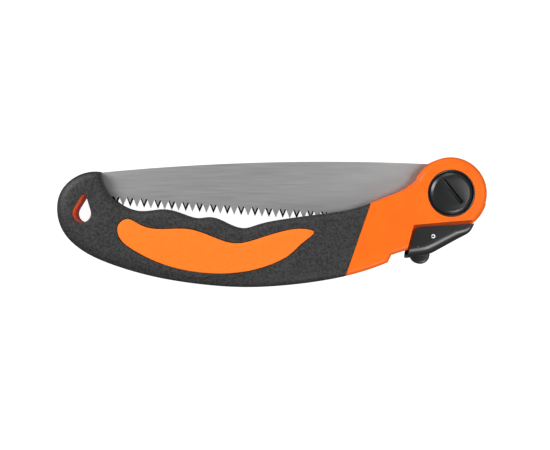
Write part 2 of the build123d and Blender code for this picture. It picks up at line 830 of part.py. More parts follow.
os.makedirs("parts", exist_ok=True)
handle_core = make_handle_core(make_lobe())
make_soft_grip(handle_core)
make_grip_inlay("grip_inlay_near", near_z - inlay_depth, 1)
make_grip_inlay("grip_inlay_far", far_z + inlay_depth, -1)
make_blade()
make_ring("blade_washer_near", blade_low_z + blade_thickness + side_play, washer_thickness,
          washer_radius, bushing_radius)
make_ring("blade_washer_far", blade_low_z - side_play - washer_thickness, washer_thickness,
          washer_radius, bushing_radius)
make_ring("pivot_bushing", far_recess_z, near_recess_z - far_recess_z, bushing_radius,
          bolt_radius + bolt_play)
make_ring("wave_washer", near_recess_z, wave_washer_thickness, wave_washer_radius,
          bolt_radius + wave_washer_play)
make_ring("nut_washer", far_recess_z - nut_washer_thickness, nut_washer_thickness,
          nut_washer_radius, bolt_radius + bolt_play)
make_pivot_cap()
make_pivot_bolt()
make_pivot_nut()
make_nut_cap()
make_lock_lever()
make_lever_pin()
make_lever_spring()
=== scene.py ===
"""Looks for a folding pruning saw: its rubber grip, grip inlays and toothed blade as finished pieces,
the finishes of every other part, and a plain white studio."""

import json
import math

import bmesh
import bpy
import numpy as np
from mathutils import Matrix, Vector
from mathutils.geometry import tessellate_polygon

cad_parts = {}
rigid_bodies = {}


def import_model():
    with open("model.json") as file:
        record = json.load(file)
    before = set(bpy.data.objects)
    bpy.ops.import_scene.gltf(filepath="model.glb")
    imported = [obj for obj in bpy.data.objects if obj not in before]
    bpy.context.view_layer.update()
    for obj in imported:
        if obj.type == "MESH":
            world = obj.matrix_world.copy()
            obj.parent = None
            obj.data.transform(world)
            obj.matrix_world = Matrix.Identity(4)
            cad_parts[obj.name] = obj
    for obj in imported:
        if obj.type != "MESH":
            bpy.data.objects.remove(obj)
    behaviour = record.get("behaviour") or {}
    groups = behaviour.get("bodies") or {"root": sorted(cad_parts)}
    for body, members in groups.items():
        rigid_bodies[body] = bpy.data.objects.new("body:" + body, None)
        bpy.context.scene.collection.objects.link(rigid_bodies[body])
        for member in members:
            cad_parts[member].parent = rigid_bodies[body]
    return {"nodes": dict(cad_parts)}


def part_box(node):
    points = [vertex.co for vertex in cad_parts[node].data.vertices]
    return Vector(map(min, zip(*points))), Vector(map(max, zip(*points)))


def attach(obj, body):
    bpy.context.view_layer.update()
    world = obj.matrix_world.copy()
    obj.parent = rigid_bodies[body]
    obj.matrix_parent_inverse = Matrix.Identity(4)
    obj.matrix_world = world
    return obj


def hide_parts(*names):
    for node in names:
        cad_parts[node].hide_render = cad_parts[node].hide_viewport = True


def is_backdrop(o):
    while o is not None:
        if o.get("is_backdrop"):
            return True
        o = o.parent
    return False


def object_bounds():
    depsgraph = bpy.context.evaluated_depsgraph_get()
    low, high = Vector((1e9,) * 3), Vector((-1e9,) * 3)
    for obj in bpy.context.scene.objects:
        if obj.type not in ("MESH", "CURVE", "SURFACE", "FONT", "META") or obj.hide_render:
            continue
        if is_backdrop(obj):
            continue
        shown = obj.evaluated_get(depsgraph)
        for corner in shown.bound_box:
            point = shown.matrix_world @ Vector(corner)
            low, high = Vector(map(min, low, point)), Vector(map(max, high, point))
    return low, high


for leftover in list(bpy.data.objects):
    bpy.data.objects.remove(leftover)
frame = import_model()
bpy.context.view_layer.update()
cad_low, cad_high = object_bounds()

MM = 0.001
LEVEL = 0.02 * MM  # points this near to a height are on it
CORNER = math.cos(math.radians(25))  # a line that turns by more than this has a corner there
CREASE = math.radians(32)  # faces that meet more sharply than this have a crisp edge
SAME = 0.001 * MM  # points of a line nearer than this are one
MERGE = 0.005 * MM  # and so are a finished mesh's vertices
QUARTER = math.radians(90)  # a rounding turns through this


# ---------------------------------------------------------------- lines read from the CAD parts
def level_lines(node, height, flat_sides):
    """Lines on a CAD part at this height, longest first: the borders of its flat faces there with
    flat_sides 1, and the lines where a wall runs into a rounding with flat_sides 0."""
    mesh = bmesh.new()
    mesh.from_mesh(frame["nodes"][node].data)
    bmesh.ops.remove_doubles(mesh, verts=mesh.verts, dist=SAME)
    beside = {}
    for edge in mesh.edges:
        a, b = edge.verts
        if max(abs(a.co.z - height), abs(b.co.z - height)) > LEVEL:
            continue
        flat = sum(all(abs(v.co.z - height) < LEVEL for v in f.verts) for f in edge.link_faces)
        if flat == flat_sides:
            beside.setdefault(a, []).append(b)
            beside.setdefault(b, []).append(a)
    lines = []
    left = set(beside)
    while left:
        ends = [v for v in left if len(beside[v]) == 1]
        start = min(ends or left, key=lambda v: (-v.co.x, v.co.y))
        line = [start]
        left.discard(start)
        while True:
            onward = [v for v in beside[line[-1]] if v in left]
            if not onward:
                break
            line.append(onward[0])
            left.discard(onward[0])
        lines.append(np.array([(v.co.x, v.co.y) for v in line]))
    mesh.free()
    return sorted(lines, key=line_length, reverse=True)


def line_length(points):
    return float(np.linalg.norm(np.diff(points, axis=0), axis=1).sum())


def signed_area(points):
    x, y = points[:, 0], points[:, 1]
    return 0.5 * float(np.sum(x * np.roll(y, -1) - np.roll(x, -1) * y))


def natural_spline(points, step):
    """Points about a step apart on the smooth curve through these points."""
    gaps = np.linalg.norm(np.diff(points, axis=0), axis=1)
    at = np.concatenate([[0.0], np.cumsum(gaps)])
    count = len(points)
    system = np.eye(count)
    right = np.zeros((count, 2))
    for i in range(1, count - 1):
        system[i, i - 1 : i + 2] = gaps[i - 1], 2 * (gaps[i - 1] + gaps[i]), gaps[i]
        right[i] = 6 * ((points[i + 1] - points[i]) / gaps[i] - (points[i] - points[i - 1]) / gaps[i - 1])
    bend = np.linalg.solve(system, right)
    sample = np.linspace(0.0, at[-1], max(2, round(at[-1] / step)) + 1)
    k = np.clip(np.searchsorted(at, sample, side="right") - 1, 0, count - 2)
    h = gaps[k][:, None]
    before = ((at[k + 1] - sample) / gaps[k])[:, None]
    after = 1 - before
    return (
        before * points[k]
        + after * points[k + 1]
        + ((before**3 - before) * bend[k] + (after**3 - after) * bend[k + 1]) * h**2 / 6
    )


def smooth_line(points, step):
    """An open line with its curves made smooth and its corners kept; also the corners' places."""
    ways = np.diff(points, axis=0)
    ways /= np.linalg.norm(ways, axis=1)[:, None]
    turns = np.sum(ways[1:] * ways[:-1], axis=1)
    cuts = [0] + [i + 1 for i in range(len(turns)) if turns[i] < CORNER] + [len(points) - 1]
    made = [points[:1]]
    for start, end in zip(cuts, cuts[1:]):
        made.append(natural_spline(points[start : end + 1], step)[1:])
    corners = list(np.cumsum([len(m) for m in made]) - 1)[1:-1]
    return np.concatenate(made), corners


def smooth_loop(points, step):
    """A closed line made smooth all round, counterclockwise."""
    if signed_area(points) < 0:
        points = points[::-1]
    lead = 6  # points of overlap, so that the join is as smooth as the rest
    wrapped = np.concatenate([points[-lead:], points, points[: lead + 1]])
    fine = natural_spline(wrapped, step)
    start = int(np.argmin(np.linalg.norm(fine - points[0], axis=1)[: len(fine) // 2]))
    tail = np.linalg.norm(fine - points[0], axis=1)
    tail[: len(fine) // 2] = np.inf
    return fine[start : int(np.argmin(tail))]


def inward(points, closed=False):
    """Unit vectors to the left of a line, square to it, longer at corners so that offsets keep
    their width."""
    if closed:
        before = points - np.roll(points, 1, axis=0)
        after = np.roll(points, -1, axis=0) - points
    else:
        before = np.diff(points, axis=0, prepend=2 * points[:1] - points[1:2])
        after = np.diff(points, axis=0, append=2 * points[-1:] - points[-2:-1])
    before /= np.linalg.norm(before, axis=1)[:, None]
    after /= np.linalg.norm(after, axis=1)[:, None]
    both = before + after
    both /= np.linalg.norm(both, axis=1)[:, None]
    left = np.stack([-both[:, 1], both[:, 0]], axis=1)
    sharpest = 0.6
    return left / np.maximum(np.sum(both * after, axis=1), sharpest)[:, None]


def in_order(ring, line, stops):
    """An offset of a line; where it would run past its own corners, its points gather there."""
    for stop in stops:
        for step in (1, -1):
            i = stop + step
            if not 0 <= i < len(line):
                continue
            way = line[i] - line[stop]
            while 0 <= i < len(line) and (ring[i] - ring[stop]) @ way < 0:
                ring[i] = ring[stop]
                i += step
    return ring


# ---------------------------------------------------------------- finishes
def linear(hex_colour):
    """An sRGB hex value as the linear colour that Blender takes."""
    parts = [int(hex_colour[i : i + 2], 16) / 255 for i in (1, 3, 5)]
    return tuple(p / 12.92 if p <= 0.04045 else ((p + 0.055) / 1.055) ** 2.4 for p in parts) + (1.0,)


def add(tree, kind, links=None, **settings):
    """Adds a node with its settings; links gives an input's value, or the output that feeds it."""
    made = tree.nodes.new(kind)
    for key, value in settings.items():
        setattr(made, key, value)
    for key, value in (links or {}).items():
        if isinstance(value, bpy.types.NodeSocket):
            tree.links.new(value, made.inputs[key])
        else:
            made.inputs[key].default_value = value
    return made


def per_size(size_mm):
    """A noise scale whose spots are this many millimetres across: a spot fills half of a cell."""
    return 0.5 / (size_mm * MM)


def moulded(name, dark, light, grain_mm, depth_mm, speck_mm, **surface):
    """A moulded plastic or rubber. dark and light are its colour's ends, grain_mm and depth_mm the
    mould's texture, and speck_mm the size of the spots in which the colour changes."""
    material = bpy.data.materials.new(name)
    material.use_nodes = True
    tree = material.node_tree
    tree.nodes.clear()
    place = add(tree, "ShaderNodeTexCoord").outputs["Object"]
    specks = add(tree, "ShaderNodeTexNoise", {"Vector": place, "Scale": per_size(speck_mm), "Detail": 3.0})
    ramp = add(tree, "ShaderNodeValToRGB", {"Fac": specks.outputs["Fac"]})
    ramp.color_ramp.elements[0].position = 0.36
    ramp.color_ramp.elements[0].color = linear(dark)
    ramp.color_ramp.elements[1].position = 0.64
    ramp.color_ramp.elements[1].color = linear(light)
    grain = add(tree, "ShaderNodeTexNoise", {"Vector": place, "Scale": per_size(grain_mm), "Detail": 2.0})
    relief = add(
        tree,
        "ShaderNodeBump",
        {"Height": grain.outputs["Fac"], "Distance": depth_mm * MM, "Strength": 1.0},
    )
    shader = add(
        tree,
        "ShaderNodeBsdfPrincipled",
        {"Base Color": ramp.outputs["Color"], "Normal": relief.outputs["Normal"], **surface},
    )
    add(tree, "ShaderNodeOutputMaterial", {"Surface": shader.outputs["BSDF"]})
    return material


def metal(name, dark, light, along_mm, across_mm, depth_mm, roughness, **surface):
    """A metal with its grain: lines of along_mm by across_mm, running along X."""
    material = bpy.data.materials.new(name)
    material.use_nodes = True
    tree = material.node_tree
    tree.nodes.clear()
    place = add(tree, "ShaderNodeTexCoord").outputs["Object"]
    drawn = add(
        tree,
        "ShaderNodeMapping",
        {"Vector": place, "Scale": (per_size(along_mm), per_size(across_mm), per_size(across_mm))},
    )
    grain = add(tree, "ShaderNodeTexNoise", {"Vector": drawn.outputs["Vector"], "Scale": 1.0, "Detail": 4.0})
    ramp = add(tree, "ShaderNodeValToRGB", {"Fac": grain.outputs["Fac"]})
    ramp.color_ramp.elements[0].position = 0.3
    ramp.color_ramp.elements[0].color = linear(dark)
    ramp.color_ramp.elements[1].position = 0.7
    ramp.color_ramp.elements[1].color = linear(light)
    polish = add(
        tree,
        "ShaderNodeMapRange",
        {"Value": grain.outputs["Fac"], "To Min": roughness - 0.05, "To Max": roughness + 0.05},
    )
    relief = add(
        tree, "ShaderNodeBump", {"Height": grain.outputs["Fac"], "Distance": depth_mm * MM, "Strength": 1.0}
    )
    shader = add(
        tree,
        "ShaderNodeBsdfPrincipled",
        {
            "Base Color": ramp.outputs["Color"],
            "Metallic": 1.0,
            "Roughness": polish.outputs["Result"],
            "Normal": relief.outputs["Normal"],
            **surface,
        },
    )
    add(tree, "ShaderNodeOutputMaterial", {"Surface": shader.outputs["BSDF"]})
    return material


# Glass-filled nylon, injection moulded in a finely sparked mould: a strong even orange with a
# satin sheen that only the rounded edges show.
orange_nylon = moulded(
    "orange_nylon",
    "#ea630a",
    "#ed670b",
    grain_mm=0.5,
    depth_mm=0.006,
    speck_mm=4.0,
    **{"Roughness": 0.42, "IOR": 1.53, "Specular IOR Level": 0.2},
)
# Thermoplastic rubber over the nylon, with the mould's coarse sparked grain: near black, dull, with
# fine light specks.
grip_rubber = moulded(
    "grip_rubber",
    "#121212",
    "#323232",
    grain_mm=0.55,
    depth_mm=0.08,
    speck_mm=0.5,
    **{"Roughness": 0.55, "IOR": 1.5, "Specular IOR Level": 0.4},
)
# The same rubber in orange, in a smoother part of the mould.
inlay_rubber = moulded(
    "inlay_rubber",
    "#ec6f0a",
    "#ef740d",
    grain_mm=0.4,
    depth_mm=0.01,
    speck_mm=0.8,
    **{"Roughness": 0.6, "IOR": 1.5, "Specular IOR Level": 0.35},
)
# Black nylon, injection moulded: a dark grey with a satin sheen.
black_nylon = moulded(
    "black_nylon", "#101112", "#161718", grain_mm=0.4, depth_mm=0.006, speck_mm=3.0, Roughness=0.3, IOR=1.53
)
# Acetal for the thin washers: smooth and waxy.
natural_acetal = moulded(
    "natural_acetal",
    "#d9d6cd",
    "#e0ddd4",
    grain_mm=0.5,
    depth_mm=0.002,
    speck_mm=4.0,
    Roughness=0.35,
    IOR=1.48,
)
# High-carbon steel sheet, ground along its length and left satin: even grey with fine lines, drawn
# coarser than real ones so that they show.
ground_steel = metal(
    "ground_steel", "#b6b6b6", "#bfbfbf", along_mm=9.0, across_mm=0.25, depth_mm=0.002, roughness=0.42
)
# The same steel where the teeth's facets were ground and then hardened by a pulse of current, which
# turns them dark.
hardened_steel = metal(
    "hardened_steel", "#1d1e20", "#34353a", along_mm=0.6, across_mm=0.3, depth_mm=0.002, roughness=0.4
)
# Steel with a bright zinc plating.
zinc_plated = metal(
    "zinc_plated", "#b4b6b8", "#c4c6c8", along_mm=1.0, across_mm=1.0, depth_mm=0.001, roughness=0.3
)
# Stainless steel rivet, tumbled to a soft bright finish.
bright_rivet = metal(
    "bright_rivet", "#f0f0f0", "#fafafa", along_mm=0.6, across_mm=0.6, depth_mm=0.001, roughness=0.6
)
# Spring steel wire, oiled.
spring_wire = metal(
    "spring_wire", "#77787a", "#8a8b8d", along_mm=0.5, across_mm=0.5, depth_mm=0.001, roughness=0.35
)

finishes = {
    "handle_core": orange_nylon,
    "soft_grip": grip_rubber,
    "grip_inlay_near": inlay_rubber,
    "grip_inlay_far": inlay_rubber,
    "blade": ground_steel,
    "blade_washer_near": natural_acetal,
    "blade_washer_far": natural_acetal,
    "pivot_bushing": zinc_plated,
    "wave_washer": zinc_plated,
    "nut_washer": zinc_plated,
    "pivot_cap": black_nylon,
    "pivot_bolt": zinc_plated,
    "pivot_nut": zinc_plated,
    "nut_cap": black_nylon,
    "lock_lever": black_nylon,
    "lock_pawl": zinc_plated,
    "lever_pin": bright_rivet,
    "lever_spring": spring_wire,
}
for node, material in finishes.items():
    slots = frame["nodes"][node].material_slots
    for slot in slots:
        slot.material = material


# ---------------------------------------------------------------- pieces in mesh code
def row(mesh, points, height):
    """A row of points at one height, or each at its own."""
    heights = np.broadcast_to(height, len(points))
    return [mesh.verts.new((p[0], p[1], z)) for p, z in zip(points, heights)]


def strip(mesh, first, second, closed=False):
    """Faces between two rows."""
    count = len(first)
    for i in range(count if closed else count - 1):
        j = (i + 1) % count
        mesh.faces.new([first[i], first[j], second[j], second[i]])


def fill(mesh, *loops):
    """A flat face inside the first loop and outside the others."""
    flat = [[Vector((v.co.x, v.co.y, 0.0)) for v in loop] for loop in loops]
    every = [v for loop in loops for v in loop]
    for corners_here in tessellate_polygon(flat):
        mesh.faces.new([every[i] for i in corners_here])


def mirrored(mesh, height):
    """Adds the mirror image of everything in the mesh, on the other side of this height."""
    copy = bmesh.ops.duplicate(mesh, geom=mesh.verts[:] + mesh.edges[:] + mesh.faces[:])["geom"]
    for v in copy:
        if isinstance(v, bmesh.types.BMVert):
            v.co.z = 2 * height - v.co.z
    bmesh.ops.reverse_faces(mesh, faces=[f for f in copy if isinstance(f, bmesh.types.BMFace)])


def thicken(mesh, thickness, cuts=()):
    """Gives an open skin its thickness, inward, and closes its borders. cuts are the lines, each a
    point and the unit vector out of the piece, that the inside doesn't pass either."""
    mesh.normal_update()
    skin = mesh.faces[:]
    if sum(f.calc_area() * f.normal.z * (f.calc_center_median().z - mid) for f in skin) < 0:
        bmesh.ops.reverse_faces(mesh, faces=skin)
        mesh.normal_update()
    borders = [loop for face in skin for loop in face.loops if len(loop.edge.link_faces) == 1]
    borders = [(loop.vert, loop.link_loop_next.vert) for loop in borders]
    inner = {v: mesh.verts.new(v.co - v.normal * thickness) for v in mesh.verts[:]}
    for v in inner.values():
        for point, out in cuts:
            past = (v.co.xy - Vector(point)) @ Vector(out)
            v.co.xy -= Vector(out) * max(past, 0.0)
    for face in skin:
        mesh.faces.new([inner[v] for v in reversed(face.verts[:])])
    for a, b in borders:
        mesh.faces.new([b, a, inner[a], inner[b]])


def piece(name, mesh, materials, body, stands_for):
    """A finished piece that rides on a body and stands for CAD nodes."""
    bmesh.ops.remove_doubles(mesh, verts=mesh.verts, dist=MERGE)
    bmesh.ops.recalc_face_normals(mesh, faces=mesh.faces)
    for face in mesh.faces:
        face.smooth = True
    for edge in mesh.edges:
        edge.smooth = len(edge.link_faces) == 2 and edge.calc_face_angle(0.0) < CREASE
    data = bpy.data.meshes.new(name)
    mesh.to_mesh(data)
    mesh.free()
    for material in materials:
        data.materials.append(material)
    made = bpy.data.objects.new(name, data)
    bpy.context.scene.collection.objects.link(made)
    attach(made, body)
    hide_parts(*stands_for)
    return made


# The rubber grip: a skin over the core, with wide soft edges along the back
grip_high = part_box("soft_grip")[1]
mid = (cad_low.z + cad_high.z) / 2
edge_round = 3.0 * MM  # the CAD grip's own rounding
slot_half = 2.0 * MM  # half the slot that the teeth fold into
slot_end_room = 5.5 * MM  # the slot runs on past the hook's corner
grip_wall = 2.1 * MM
parting_gap = 0.12 * MM
back_width = 7.0 * MM
tail_width = 6.2 * MM
wavy_width = 3.8 * MM
height_share = 0.375  # a wider rounding is also this much taller
lip_round = 0.8 * MM
pocket_round = 0.25 * MM
pocket_depth = 1.45 * MM
round_steps = 8
lip_steps = 4
outline_step = 1.0 * MM
hole_step = 0.5 * MM
end_margin = 6.0 * MM  # the pocket and the hole are further than this from both ends
hook_ease = 8.0 * MM  # the rounding reaches its width this far from the parting line
back_ease = 50.0 * MM  # and grows over this length past the tail
front_ease = 14.0 * MM

mesh = bmesh.new()
outline = level_lines("soft_grip", grip_high.z - edge_round, 0)[0]
if outline[0][0] < outline[-1][0]:
    outline = outline[::-1]
outline, corners = smooth_line(outline, outline_step)
hook_corner = outline[corners[0]]
count = len(outline)
travel = np.concatenate([[0], np.cumsum(np.linalg.norm(np.diff(outline, axis=0), axis=1))])
tail_tip = int(np.argmin(outline[:, 0]))
widths = np.interp(
    travel,
    [
        0.0,
        hook_ease,
        travel[corners[0]],
        travel[tail_tip],
        travel[tail_tip] + back_ease,
        travel[-1] - front_ease,
        travel[-1],
    ],
    [edge_round, wavy_width, wavy_width, tail_width, back_width, back_width, edge_round],
)
drops = edge_round + (widths - edge_round) * height_share
# The skin's two ends lie on the parting line, so their offsets run along it
ways = inward(outline)
parting = outline[0] - outline[-1]
parting /= np.linalg.norm(parting)
for end, way in ((0, -parting), (-1, parting)):
    ways[end] = way / (way @ ways[end]) * np.linalg.norm(ways[end])
square = np.array([-parting[1], parting[0]])
if square @ (outline[count // 2] - outline[0]) < 0:
    square = -square
rows = []
for k in range(round_steps + 1):
    turn = QUARTER * k / round_steps
    inset = outline + ways * (widths * (1 - math.cos(turn)))[:, None]
    inset[0] += square * parting_gap
    inset[-1] += square * parting_gap
    inset = in_order(inset, outline, (0, corners[0], count - 1))
    rows.append(row(mesh, inset, grip_high.z - drops * (1 - math.sin(turn))))
for first, second in zip(rows, rows[1:]):
    strip(mesh, first, second)
borders = level_lines("soft_grip", grip_high.z, 1)
left_end, right_end = outline[:, 0].min() + end_margin, outline[:, 0].max() - end_margin
holes = [b for b in borders if b[:, 0].min() > left_end and b[:, 0].max() < right_end]
holes = [smooth_loop(b, hole_step) for b in holes[:2]]  # the inlay's pocket, then the hang hole
lips = []
for hole, rounding, depth in zip(holes, (pocket_round, lip_round), (pocket_depth, lip_round)):
    out = -inward(hole, closed=True)
    rings = []
    for k in range(lip_steps + 1):
        turn = QUARTER * k / lip_steps
        ring = hole + out * rounding * (1 - math.sin(turn))
        rings.append(row(mesh, ring, grip_high.z - rounding * (1 - math.cos(turn))))
    if depth > rounding:
        rings.append(row(mesh, hole, grip_high.z - depth))
    for first, second in zip(rings, rings[1:]):
        strip(mesh, first, second, closed=True)
    if depth > rounding:
        fill(mesh, rings[-1])
    lips.append(rings[0])
fill(mesh, rows[-1], *lips)
# Its sides go down to the slot, and past the slot's end to the middle
wall = row(mesh, [v.co.xy for v in rows[0]], mid + slot_half)
strip(mesh, rows[0], wall)
slot_end = next(i for i in range(corners[0], count) if outline[i][0] < hook_corner[0] - slot_end_room)
low_wall = row(mesh, [v.co.xy for v in rows[0][slot_end:]], mid)
strip(mesh, wall[slot_end:], low_wall)
mirrored(mesh, mid)
bmesh.ops.remove_doubles(mesh, verts=mesh.verts, dist=MERGE)
bmesh.ops.recalc_face_normals(mesh, faces=mesh.faces)
thicken(mesh, grip_wall)
piece("grip_skin", mesh, [grip_rubber], "handle", ["soft_grip"])

# The grip's inlays: low pads with a small rounding, set in their pockets
pad_round = 0.5 * MM
pad_crown = 0.12 * MM  # the middle stands this far above the rounding
pad_crown_width = 1.6 * MM
pad_steps = 5
pad_step = 0.7 * MM
cad_pad_round = 0.4 * MM  # the rounding of the CAD inlay, below which its wall is straight
for node in ("grip_inlay_near", "grip_inlay_far"):
    low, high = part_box(node)
    near = high.z > mid
    face = high.z if near else low.z
    inner = low.z if near else high.z
    way = 1 if near else -1
    loop = smooth_loop(level_lines(node, face - way * cad_pad_round, 0)[0], pad_step)
    ways = inward(loop, closed=True)
    mesh = bmesh.new()
    rings = [row(mesh, loop, inner)]
    for k in range(pad_steps + 1):
        turn = QUARTER * k / pad_steps
        ring = loop + ways * pad_round * (1 - math.cos(turn))
        rings.append(row(mesh, ring, face - way * (pad_crown + pad_round * (1 - math.sin(turn)))))
    rings.append(row(mesh, loop + ways * pad_crown_width, face))
    for first, second in zip(rings, rings[1:]):
        strip(mesh, first, second, closed=True)
    fill(mesh, rings[0])
    fill(mesh, rings[-1])
    piece(node.replace("grip_inlay", "inlay_pad"), mesh, [inlay_rubber], "handle", [node])


# The lock lever: a channel whose belly is widely rounded, with a thumb lobe below
def eased(points, reaches, samples=6):
    """A line of straight runs whose inner corners are rounded, starting this far before each."""
    made = [np.array(points[0])]
    for a, b, c, reach in zip(points, points[1:], points[2:], reaches):
        a, b, c = (np.array(p) for p in (a, b, c))
        start = b + (a - b) / np.linalg.norm(a - b) * reach
        end = b + (c - b) / np.linalg.norm(c - b) * reach
        for k in range(samples + 1):
            t = k / samples
            made.append((1 - t) ** 2 * start + 2 * t * (1 - t) * b + t * t * end)
    made.append(np.array(points[-1]))
    return np.array(made)


def spaced(points, step):
    """The same line with points about a step apart."""
    at = np.concatenate([[0.0], np.cumsum(np.linalg.norm(np.diff(points, axis=0), axis=1))])
    sample = np.linspace(0.0, at[-1], round(at[-1] / step) + 1)
    return np.stack([np.interp(sample, at, points[:, k]) for k in (0, 1)], axis=1), sample


def circle(center, radius, samples):
    """Points round a circle, counterclockwise."""
    turns = np.arange(samples) * 2 * math.pi / samples
    return np.array(center) + radius * np.stack([np.cos(turns), np.sin(turns)], axis=1)


lever_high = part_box("lock_lever")[1]
pin_low, pin_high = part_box("lever_pin")
pin_middle = ((pin_high + pin_low) / 2).xy
pin_radius = (pin_high.y - pin_low.y) / 2
lever_rear_top = np.array((-18.4, -17.4)) * MM
lever_nose = np.array((12.1, -15.5)) * MM
lever_chin = np.array((10.0, -20.2)) * MM
lever_belly = np.array((-11.0, -31.9)) * MM
lever_heel = np.array((-22.6, -33.5)) * MM
belly_ease = 4.0 * MM
chin_ease = 2.4 * MM
rear_top_ease = 3.6 * MM
lever_step = 0.6 * MM
pin_samples = 32
lever_wall = 1.2 * MM
web_short = 2.5 * MM  # the web stops this far behind the chin
belly_widths = (6.0, 6.0, 5.4, 3.4, 1.2)  # mm, from the heel to the nose
belly_shares = (0.0, 0.35, 0.72, 0.9, 1.0)
belly_heights = (6.0, 6.0, 5.2, 2.0, 1.0)  # mm, lower at the front to clear the head
belly = eased([lever_heel, lever_belly, lever_chin, lever_nose], (belly_ease, chin_ease))
path, travel = spaced(belly, lever_step)
widths = np.interp(travel / travel[-1], belly_shares, belly_widths) * MM
drops = np.interp(travel / travel[-1], belly_shares, belly_heights) * MM
ways = inward(path)
rear_way = (lever_rear_top - lever_heel) / np.linalg.norm(lever_rear_top - lever_heel)
top_way = (lever_rear_top - lever_nose) / np.linalg.norm(lever_rear_top - lever_nose)
for end, way in ((0, rear_way), (-1, top_way)):
    ways[end] = way / (way @ ways[end])
mesh = bmesh.new()
rows = []
for k in range(round_steps + 1):
    turn = QUARTER * k / round_steps
    inset = path + ways * (widths * (1 - math.cos(turn)))[:, None]
    inset = in_order(inset, path, (0, len(path) - 1))
    rows.append(row(mesh, inset, lever_high.z - drops * (1 - math.sin(turn))))
for first, second in zip(rows, rows[1:]):
    strip(mesh, first, second)
corner_round = eased([lever_nose, lever_rear_top, lever_heel], (rear_top_ease,))[1:-1]
corner_row = row(mesh, corner_round, lever_high.z)
pin_hole = row(mesh, circle(pin_middle, pin_radius, pin_samples), lever_high.z)
fill(mesh, rows[-1] + corner_row, pin_hole)
web_end = int(np.argmax(path[:, 0] > lever_chin[0] - web_short))  # the front is open for the head
strip(mesh, rows[0][:web_end], row(mesh, path[:web_end], mid))
mirrored(mesh, mid)
bmesh.ops.remove_doubles(mesh, verts=mesh.verts, dist=MERGE)
bmesh.ops.recalc_face_normals(mesh, faces=mesh.faces)
thicken(
    mesh,
    lever_wall,
    cuts=[(lever_nose, (top_way[1], -top_way[0])), (lever_heel, (-rear_way[1], rear_way[0]))],
)
# The thumb lobe: a disc with rounded rims, cut off where it meets the web
lobe_middle = (-15.2 * MM, -31.6 * MM)
lobe_radius = 5.0 * MM
lobe_top = -31.0 * MM  # it runs no further up into the channel
lobe_half = 4.5 * MM
lobe_round = 1.6 * MM
lobe_steps = 5
lobe_samples = 48
rings = []
for side in (1, -1):
    for k in range(lobe_steps + 1):
        turn = QUARTER * (k / lobe_steps if side > 0 else 1 - k / lobe_steps)
        radius = lobe_radius - lobe_round * (1 - math.sin(turn))
        edge = circle(lobe_middle, radius, lobe_samples)
        edge[:, 1] = np.minimum(edge[:, 1], lobe_top)
        rings.append(row(mesh, edge, mid + side * (lobe_half - lobe_round * (1 - math.cos(turn)))))
for first, second in zip(rings, rings[1:]):
    strip(mesh, first, second, closed=True)
fill(mesh, rings[0])
fill(mesh, rings[-1])
lever = piece("lever_shell", mesh, [black_nylon], "lever", ["lock_lever"])
bevel = lever.modifiers.new("edge", "BEVEL")
bevel.width = 0.3 * MM
bevel.segments = 2
bevel.limit_method = "ANGLE"
bevel.angle_limit = math.radians(50)

# The discs on the pivot: each stands in a ring that lines its recess. In millimetres, radius and
# depth below the face, from the outside inward
disc_ring = [(12.1, 3.9), (12.1, 0.75), (11.98, 0.6), (11.75, 0.55), (11.55, 0.65), (11.5, 0.9)]
disc_shoulder = [(11.45, 2.0), (11.1, 2.0), (11.0, 1.35), (10.85, 1.1), (10.5, 0.85), (9.7, 0.3)]
disc_rim = [(9.3, 0.08), (8.9, 0.0)]
disc_samples = 96
slot_length = 15.2 * MM
slot_width = 2.1 * MM
slot_middle = np.array((0.65, 0.85)) * MM
slot_turn = math.radians(-51.5)
slot_samples = 16
slot_end_depth = 1.5 * MM
slot_middle_depth = 1.9 * MM
slot_floor_share = 0.35  # of the slot's width at its mouth


def pivot_disc(name, node, body, outward, coin_slot):
    """A disc about the pivot axis; outward is 1 on the near side and -1 on the far one."""
    low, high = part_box(node)
    face = high.z if outward > 0 else low.z
    mesh = bmesh.new()
    rings = [
        row(mesh, circle((0.0, 0.0), radius * MM, disc_samples), face - outward * depth * MM)
        for radius, depth in disc_ring + disc_shoulder + disc_rim
    ]
    for first, second in zip(rings, rings[1:]):
        strip(mesh, first, second, closed=True)
    fill(mesh, rings[0])
    if coin_slot:
        way = np.array((math.cos(slot_turn), math.sin(slot_turn)))
        side = np.array((-way[1], way[0])) * slot_width / 2
        shares = np.linspace(-1, 1, slot_samples)
        middle_line = slot_middle + shares[:, None] * way * slot_length / 2
        depth = slot_end_depth + (slot_middle_depth - slot_end_depth) * (1 - shares**2)
        edges = [row(mesh, middle_line + s * side, face) for s in (1, -1)]
        floors = [
            row(mesh, middle_line + s * side * slot_floor_share, face - outward * depth) for s in (1, -1)
        ]
        for edge, floor_row in zip(edges, floors):
            strip(mesh, edge, floor_row)
        strip(mesh, *floors)
        for end in (0, -1):
            mesh.faces.new([edges[0][end], edges[1][end], floors[1][end], floors[0][end]])
        fill(mesh, rings[-1], edges[0] + edges[1][::-1])
    else:
        fill(mesh, rings[-1])
    piece(name, mesh, [black_nylon], body, [node])


pivot_disc("adjuster_disc", "pivot_cap", "adjuster", 1, True)
pivot_disc("nut_disc", "nut_cap", "handle", -1, False)

# The blade: a plate whose teeth are ground on one side and the other by turns
facet_width = 0.8 * MM
ridge_share = 0.2  # of the tooth's point, where the two facets meet
land_limit = 0.3 * MM
low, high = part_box("blade")
outline, bore = level_lines("blade", high.z, 1)[:2]
if signed_area(outline) < 0:
    outline = outline[::-1]
count = len(outline)
steps = np.linalg.norm(np.roll(outline, -1, axis=0) - outline, axis=1)
across = outline[:, 1]
tips = [
    i
    for i in range(count)
    if steps[i] < land_limit
    and across[i - 1] > across[i] + facet_width
    and across[(i + 2) % count] > across[i] + facet_width
]


